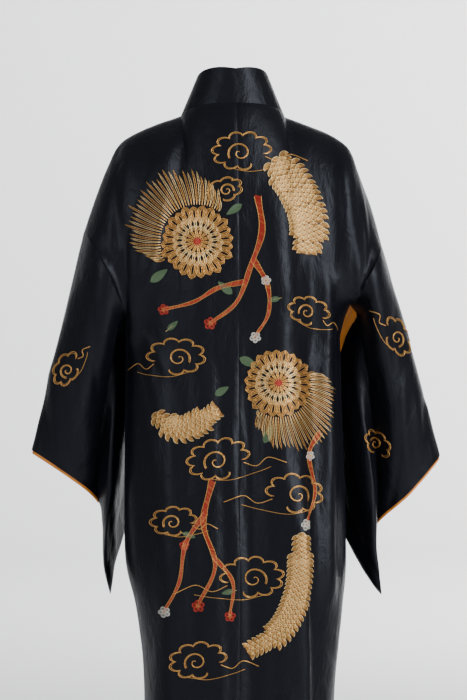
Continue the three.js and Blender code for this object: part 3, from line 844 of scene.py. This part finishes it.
# A row of short stitches along a path, each a small rounded bar.
def stitchTree():
    tree, given, curve = startTree(
        "stitchRow", {"Spacing": "Float", "Stitch length": "Float", "Radius": "Float"}, "Stitches")
    points = addNode(tree, "GeometryNodeCurveToPoints", {
        "Curve": curve, "Length": given["Spacing"]}, mode="LENGTH")
    bar = addNode(tree, "GeometryNodeMeshCylinder", {
        "Vertices": 5, "Side Segments": 2, "Radius": given["Radius"], "Depth": given["Stitch length"]})
    turn = addNode(tree, "FunctionNodeAlignRotationToVector", {"Vector": points["Tangent"]}, axis="Z")
    placed = addNode(tree, "GeometryNodeInstanceOnPoints", {
        "Points": points["Points"], "Instance": bar["Mesh"], "Rotation": turn["Rotation"]})["Instances"]
    return endTree(tree, given, placed, "Stitches")


# Paths are lists of points in metres.
def growAlong(name, paths, tree, values):
    data = bpy.data.meshes.new(name)
    points, edges = [], []
    for path in paths:
        edges += [(len(points) + i, len(points) + i + 1) for i in range(len(path) - 1)]
        points += path
    data.from_pydata(points, edges, [])
    guide = addObject(name + ".paths", data)
    thread = guide.modifiers.new("thread", "NODES")
    thread.node_group = tree
    for item in tree.interface.items_tree:
        if item.item_type == "SOCKET" and item.in_out == "INPUT" and item.name in values:
            thread[item.identifier] = values[item.name]
    return addPiece(name, takeMesh(guide, name))


# Embroidery. Motifs are drawn flat as seen from behind: u to the viewer's right, z up, in millimetres.
sewing = {
    "goldRadius": 0.75,
    "fineRadius": 0.5,
    "flossRadius": 0.42,
    "lift": 0.15,
    "twist": 5200,
    "couchSpacing": 5.2,
    "couchWidth": 0.7,
    "seamRadius": 0.22,
    "seamStitch": 2.2,
    "seamSpacing": 4.4,
}
strokes = {}


def draw(kind, points):
    strokes.setdefault(kind, []).append(points)


def curveThrough(knots, step=3.0):
    # A smooth line through a short list of knots, in even steps.
    rows = [dict(zip(("t", "u", "z"), (i, *knot))) for i, knot in enumerate(knots)]
    fine = []
    for i in range(len(knots) - 1):
        span = math.dist(knots[i], knots[i + 1])
        count = max(2, round(span / step))
        for k in range(count):
            t = i + k / count
            fine.append((readTable(rows, "t", "u", t), readTable(rows, "t", "z", t)))
    fine.append(tuple(knots[-1]))
    return fine


# A place x along and y across a direction from the centre.
def turned(centre, angle, x, y=0):
    c, s = math.cos(angle), math.sin(angle)
    return (centre[0] + x * c - y * s, centre[1] + x * s + y * c)


def stepAngle(path, i):
    return math.atan2(path[i + 1][1] - path[i][1], path[i + 1][0] - path[i][0])


def petal(kind, centre, angle, start, end, width, loops, bend=0):
    # Loops of thread laid one inside the other.
    for k in range(loops):
        share = 1 - k / loops
        outline = []
        for i in range(15):
            t = i / 14
            side = 1 if t < 0.5 else -1
            s = 1 - abs(2 * t - 1)
            inwards = (1 - share) * (end - start)
            along = mix(start + inwards * 0.3, end - inwards * 0.22, s)
            half = side * width / 2 * share * math.sin(math.pi * min(1, s * 0.86 + 0.02)) ** 0.8
            if s > 0.999:
                half = 0
            outline.append(turned(centre, angle + bend * s * s, along, half))
        draw(kind, outline)


blooms = table(
    "u z radius petals start rays raySpan rayTurn",
    (-66, -222, 58, 24, 0.1, 40, 2.7, 2.3),
    (62, -446, 54, 22, 0.5, 38, 2.5, -0.95),
)


def bloom(row, rng):
    centre = (row["u"], row["z"])
    radius = row["radius"]
    for ring, (inner, outer, share) in enumerate(((0.5, 1.0, 1), (0.3, 0.7, 0.85), (0.1, 0.42, 0.6))):
        count = round(row["petals"] * share)
        for i in range(count):
            angle = row["start"] + (i + 0.5 * ring) / count * math.tau
            reach = radius * outer * rng.uniform(0.94, 1.05)
            width = math.tau * radius * outer / count * 0.94
            petal("gold" if ring != 1 else "pale", centre, angle, radius * inner, reach, width,
                  3 if ring == 0 else 2)
    for i in range(9):
        angle = i / 9 * math.tau
        petal("red", centre, angle, 0.5, radius * 0.13, 4.2, 2)
    # Long fine petals that stream out on one side.
    for i in range(row["rays"]):
        share = i / (row["rays"] - 1)
        angle = row["rayTurn"] + (share - 0.5) * row["raySpan"]
        end = radius * (1.25 + 0.85 * math.sin(math.pi * share) ** 0.7) * rng.uniform(0.93, 1.06)
        bend = 0.22 * (0.5 - share)
        petal("fine" if i % 2 else "paleFine", centre, angle, radius * 1.0, end, 2.6, 1, bend)


clouds = table(
    "u z size turn flip lobes tail",
    (6, -78, 36, 0.1, 1, 9, 70),
    (-22, -140, 22, 0.3, -1, 6, 0),
    (112, -332, 27, -0.2, 1, 7, 30),
    (-98, -404, 34, 0.0, -1, 8, 40),
    (-34, -566, 38, 0.2, 1, 9, 66),
    (88, -620, 36, -0.1, -1, 8, 76),
    (-104, -664, 27, 0.1, 1, 7, 40),
    (18, -752, 38, 0.0, -1, 9, 84),
    (-66, -884, 34, 0.15, 1, 8, 60),
    (-268, -424, 22, 1.1, 1, 6, 26),
    (262, -372, 26, -1.0, -1, 6, 34),
    (236, -546, 20, -0.9, 1, 6, 0),
)


# Knots of a cloud's two tails: shares of its size and of its tail sideways, and of its size upwards.
cloudTails = {
    "gold": ((1, 0, -0.35), (1, 0.3, -0.6), (1, 0.6, -0.34), (1, 1, -0.7)),
    "fine": ((-0.6, 0, -0.72), (0.3, 0, -0.95), (1, 0.25, -0.86), (1, 0.62, -0.74)),
}


def cloud(row):
    # A scalloped rim that rolls inwards into a spiral, with a tail that trails off.
    size, flip, lobes = row["size"], row["flip"], row["lobes"]

    def place(x, y):
        return turned((row["u"], row["z"]), row["turn"], x * flip, y)

    for offset in (0, 2.1):
        rim = []
        count = lobes * 12
        for i in range(count + 1):
            angle = -0.35 + (math.tau * 0.86) * i / count
            scallop = abs(math.sin(lobes / 2 * (angle + 0.35) / 0.86)) ** 0.7
            radius = size * (0.86 + 0.22 * scallop) - offset
            rim.append(place(radius * 1.25 * math.cos(angle), radius * 0.8 * math.sin(angle)))
        draw("gold" if offset == 0 else "fine", rim)
    for inner, kind in ((0, "gold"), (2.0, "fine")):
        curl = []
        for i in range(34):
            t = i / 33
            angle = 3.6 - t * 8.2
            radius = (size * 0.52 - inner) * (1 - t) ** 0.75 + 1.2
            curl.append(place(radius * math.cos(angle) - size * 0.1,
                              radius * math.sin(angle) * 0.9 - size * 0.08))
        draw(kind, curl)
    if row["tail"]:
        for kind, knots in cloudTails.items():
            line = curveThrough([(size * a + row["tail"] * b, size * c) for a, b, c in knots])
            draw(kind, [place(*point) for point in line])


# Patches of overlapping wave scallops along a bent band.
waveBands = table(
    "width scallop knots",
    (62, 8.6, [(62, -96), (92, -136), (112, -190), (108, -246)]),
    (34, 7.6, [(-128, -500), (-96, -520), (-60, -506), (-30, -484)]),
    (36, 7.8, [(96, -690), (92, -770), (64, -836), (10, -872)]),
)


def waves(band):
    path = curveThrough(band["knots"], 2.0)
    size = band["scallop"]
    total = sum(math.dist(path[i], path[i + 1]) for i in range(len(path) - 1))
    walked = row = nextRow = 0
    for i in range(len(path) - 1):
        if walked >= nextRow:
            angle, share = stepAngle(path, i), walked / total
            half = band["width"] / 2 * math.sin(math.pi * min(1, 0.12 + share * 0.8)) ** 0.5
            count = int(half / size)
            for k in range(-count, count + 1):
                across = k * size * 1.9 + (size * 0.95 if row % 2 else 0)
                if abs(across) > half:
                    continue
                centre = turned(path[i], angle, 0, across)
                for ring, kind in ((1, "pale"), (0.74, "gold"), (0.48, "gold"), (0.22, "fine")):
                    turns = [angle + math.pi / 2 + math.pi * j / 8 for j in range(9)]
                    draw(kind, [turned(centre, turn, size * ring) for turn in turns])
            row += 1
            nextRow += size * 0.5
        walked += math.dist(path[i], path[i + 1])


# Branches in red and orange floss with a gold edge on each side.
branches = table(
    "wide thin knots",
    (8.5, 3.0, [(30, -150), (36, -206), (18, -262), (-4, -318), (-46, -352)]),
    (6.5, 2.0, [(22, -250), (44, -290), (46, -336), (26, -372)]),
    (6.0, 2.0, [(8, -286), (-34, -296), (-72, -318), (-118, -330)]),
    (8.0, 2.6, [(-44, -600), (-58, -668), (-40, -734), (-66, -796)]),
    (6.0, 2.0, [(-54, -650), (-86, -700), (-96, -760), (-118, -806)]),
    (5.0, 1.8, [(-42, -720), (-12, -760), (-16, -812)]),
    (6.5, 2.0, [(132, -524), (112, -560), (122, -620), (104, -668)]),
)


def branch(row, rng):
    path = curveThrough(row["knots"], 1.15)
    last = len(path) - 1
    edges = {1: [], -1: []}
    for i in range(last):
        angle, size, share = stepAngle(path, i), math.dist(path[i], path[i + 1]), i / last
        half = mix(row["wide"], row["thin"], share) / 2 * (1 + 0.18 * math.sin(share * 21 + row["wide"]))
        slant = 1.6 * size
        kind = "orange" if rng.random() < 0.16 + 0.2 * abs(math.sin(share * 13)) else "redFloss"
        draw(kind, [turned(path[i], angle, slant, half), path[i], turned(path[i], angle, -slant, -half)])
        if i % 3 == 0:
            for side in (1, -1):
                edges[side].append(turned(path[i], angle, 0, side * (half + 0.7)))
    for side in (1, -1):
        draw("fine", edges[side])


leaves = table(
    "u z angle length width",
    (-112, -266, -2.5, 34, 14),
    (-34, -286, -0.7, 30, 13),
    (-20, -180, 0.6, 30, 12),
    (30, -420, 2.7, 32, 14),
    (52, -512, -2.0, 32, 13),
    (-16, -452, -2.6, 26, 12),
    (-96, -348, -2.4, 22, 9),
    (44, -316, 0.2, 20, 9),
    (-70, -690, 2.8, 22, 9),
    (-30, -778, 0.2, 22, 9),
)


def leaf(row):
    at = lambda x, y=0: turned((row["u"], row["z"]), row["angle"], x, y)
    count = round(row["length"] / 0.95)
    for i in range(1, count):
        t = i / count
        half = row["width"] / 2 * math.sin(math.pi * t ** 0.8) ** 0.9
        for side in (1, -1):
            x = t * row["length"]
            draw("green", [at(x), at(x + half * 0.9, side * half)])
    draw("paleFine", [at(x) for x in (-6, row["length"] * 0.5, row["length"] + 3)])


# Small five-petalled flowers with white and red floss.
flowers = table(
    "u z size turn",
    (-46, -352, 9, 0.2),
    (26, -374, 8, 0.9),
    (-118, -330, 8, 0.5),
    (42, -284, 7, 0.1),
    (-66, -798, 9, 0.4),
    (-118, -808, 8, 0.7),
    (-16, -814, 8, 0.2),
    (104, -670, 8, 0.6),
    (-88, -702, 7, 0.3),
    (114, -562, 7, 0.9),
)


def flower(row, index):
    centre = (row["u"], row["z"])
    for i in range(5):
        petal("white" if index % 2 else "redFloss", centre, row["turn"] + i / 5 * math.tau, 1.2,
              row["size"] * 1.1, row["size"] * 0.84, 3)
    for i in range(5):
        draw("fine", [centre, turned(centre, row["turn"] + (i + 0.5) / 5 * math.tau, 3.6)])


def layOnCloth(surface, path, lift):
    # Drops a flat path onto the back of the robe, and parts it where it runs off an edge.
    runs, run = [], []
    for u, z in path:
        start = Vector((-u * 0.001, 0.4, z * 0.001))
        hit, normal, face, far = surface.ray_cast(start, Vector((0, -1, 0)), 0.7)
        if hit is None or (run and (hit - run[-1]).length > 0.016):
            if len(run) > 1:
                runs.append(run)
            run = []
        if hit is not None:
            run.append(hit + normal * lift * 0.001)
    if len(run) > 1:
        runs.append(run)
    return runs


def makeEmbroidery(cloths, materials, tree):
    rng = random.Random(7)
    for row in blooms:
        bloom(row, rng)
    for row in clouds:
        cloud(row)
    for band in waveBands:
        waves(band)
    for row in branches:
        branch(row, rng)
    for row in leaves:
        leaf(row)
    for index, row in enumerate(flowers):
        flower(row, index)
    surface = surfaceOf(cloths)
    kinds = {
        "gold": ("gold_thread", "goldRadius", 6, 0.5),
        "fine": ("gold_thread", "fineRadius", 5, 0.35),
        "pale": ("pale_gold_thread", "goldRadius", 6, 0.6),
        "paleFine": ("pale_gold_thread", "fineRadius", 5, 0.35),
        "red": ("red_thread", "fineRadius", 5, 0.5),
        "redFloss": ("red_thread", "flossRadius", 4, 0.3),
        "orange": ("red_thread", "flossRadius", 4, 0.36),
        "green": ("green_thread", "flossRadius", 4, 0.3),
        "white": ("white_thread", "flossRadius", 4, 0.4),
    }
    for kind, paths in strokes.items():
        slotName, size, sides, lift = kinds[kind]
        laid = [run for path in paths for run in layOnCloth(surface, path, lift + sewing["lift"])]
        material = materials["orange_thread" if kind == "orange" else slotName]
        piece = growAlong("thread_" + kind, laid, tree,
                          {"Radius": sewing[size] * 0.001, "Sides": sides, "Material": material})
        print("laid", kind, len(laid), len(piece.data.polygons))


# Rows of small stitches along the seams, pressed onto the outer side of the cloth.
def makeSeams(cloths, material, tree):
    surface = surfaceOf(cloths)
    heights = range(-40, robe["hemHeight"] + 8, -4)
    seams = [[(Vector((0, mix(60, 110, ease(-20, -330, z)), z)), Vector((0, 12, 0))) for z in heights]]
    for side in (1, -1):
        low = [z for z in heights if z < robe["underarmHeight"] - 12]
        seams.append([(bodyPoint(side, 90, z), Vector((side * 4, 0, 0))) for z in low])
        turns = [math.pi * i / 60 for i in range(3, 56)]
        seams += [[(armholePoint(side, turn, layer), Vector((0, layer * 6, 0))) for turn in turns]
                  for layer in (1, -1)]
        neck = [here["seam"] for here in collarRun(side)[:60]]
        seams.append([(at, Vector((side * abs(at.x) / 12, 5 if at.y > 0 else 0, 0))) for at in neck])

    def press(point, out):
        hit, normal, face, far = surface.find_nearest((point + toNape + out) * 0.001)
        return hit + normal * 0.0001

    paths = [[press(point, out) for point, out in seam] for seam in seams]
    return growAlong("seam_stitches", paths, tree, {
        "Radius": sewing["seamRadius"] * 0.001, "Spacing": sewing["seamSpacing"] * 0.001,
        "Stitch length": sewing["seamStitch"] * 0.001, "Material": material})


materials = {look["slot"]: threadMaterial(look) for look in threadLooks}
materials["black_silk"] = silkMaterial("blackSilk")
materials["orange_silk"] = silkMaterial("orangeSilk")

bodies = [makeBody(side, materials["black_silk"]) for side in (1, -1)]
overlaps = [makeOverlap(side, materials["black_silk"]) for side in (1, -1)]
collar = makeCollar(materials["black_silk"])
sleeves = [makeSleeve(side, materials["black_silk"]) for side in (1, -1)]
linings = [makeLining(side, materials["orange_silk"]) for side in (1, -1)]
print("cloth done")
makeEmbroidery(bodies + sleeves, materials, threadTree())
seams = makeSeams(bodies + sleeves + [collar], materials["seam_thread"], stitchTree())
print("seams", len(seams.data.polygons))

# Studio: one pale sweep, a large soft window light from the viewer's right and a weak fill.
studio = {
    "wall": -17.0,
    "floor": -1.45,
    "bend": 3.0,
    "reach": 17.0,
    "wallColour": (0.90, 0.90, 0.91),
    "worldStrength": 0.36,
}
lights = table(
    "name place aim size power colour",
    ("window", (-1.9, 2.2, 0.5), (0, 0, -0.45), (1.3, 2.4), 82, (0.97, 0.985, 1.0)),
    ("wall wash", (-8.0, -6.0, 4.5), (-5.0, -16.0, 0.0), (5.0, 5.0), 3700, (1.0, 1.0, 1.0)),
    ("fill", (2.4, 2.4, 0.6), (0, 0, -0.4), (1.6, 1.6), 24, (0.93, 0.96, 1.0)),
)


def makeSweep():
    wall, floor, bend, reach = (studio[key] for key in ("wall", "floor", "bend", "reach"))
    profile = [(wall, 9), (wall, floor + bend)]
    profile += [(wall + bend - bend * math.cos(a), floor + bend - bend * math.sin(a))
                for a in [math.pi / 2 * i / 12 for i in range(1, 13)]]
    profile.append((reach, floor))
    mesh = bpy.data.meshes.new("sweep")
    points = [(x, y, z) for y, z in profile for x in (-reach, reach)]
    faces = [(2 * i, 2 * i + 1, 2 * i + 3, 2 * i + 2) for i in range(len(profile) - 1)]
    mesh.from_pydata(points, [], faces)
    smooth(mesh)
    material, tree, shader = newMaterial("paleWall")
    fillInputs(tree, shader, {"Base Color": (*studio["wallColour"], 1), "Roughness": 0.9})
    mesh.materials.append(material)
    addObject("sweep", mesh)


def lookAt(made, place, aim):
    made.location = place
    made.rotation_euler = (Vector(aim) - Vector(place)).to_track_quat("-Z", "Y").to_euler()


def areaLight(light):
    data = bpy.data.lights.new(light["name"], "AREA")
    data.shape = "RECTANGLE"
    data.size, data.size_y = light["size"]
    data.energy = light["power"]
    data.color = light["colour"]
    lookAt(addObject(light["name"], data), light["place"], light["aim"])


makeSweep()
for light in lights:
    areaLight(light)
world = bpy.data.worlds.new("studio")
world.use_nodes = True
fillInputs(world.node_tree, world.node_tree.nodes["Background"],
           {"Color": (0.93, 0.95, 1.0, 1), "Strength": studio["worldStrength"]})
bpy.context.scene.world = world

# Camera: behind the robe, a little towards its left side.
camera = {"azimuth": 6, "distance": 6.235, "lens": 200, "aim": (0.0, -0.04, -0.394)}
data = bpy.data.cameras.new("camera")
data.lens = camera["lens"]
view = addObject("camera", data)
turn = math.radians(camera["azimuth"])
away = camera["distance"] * Vector((math.sin(turn), math.cos(turn), 0))
lookAt(view, Vector(camera["aim"]) + away, camera["aim"])
bpy.context.scene.camera = view
print("studio and camera done")
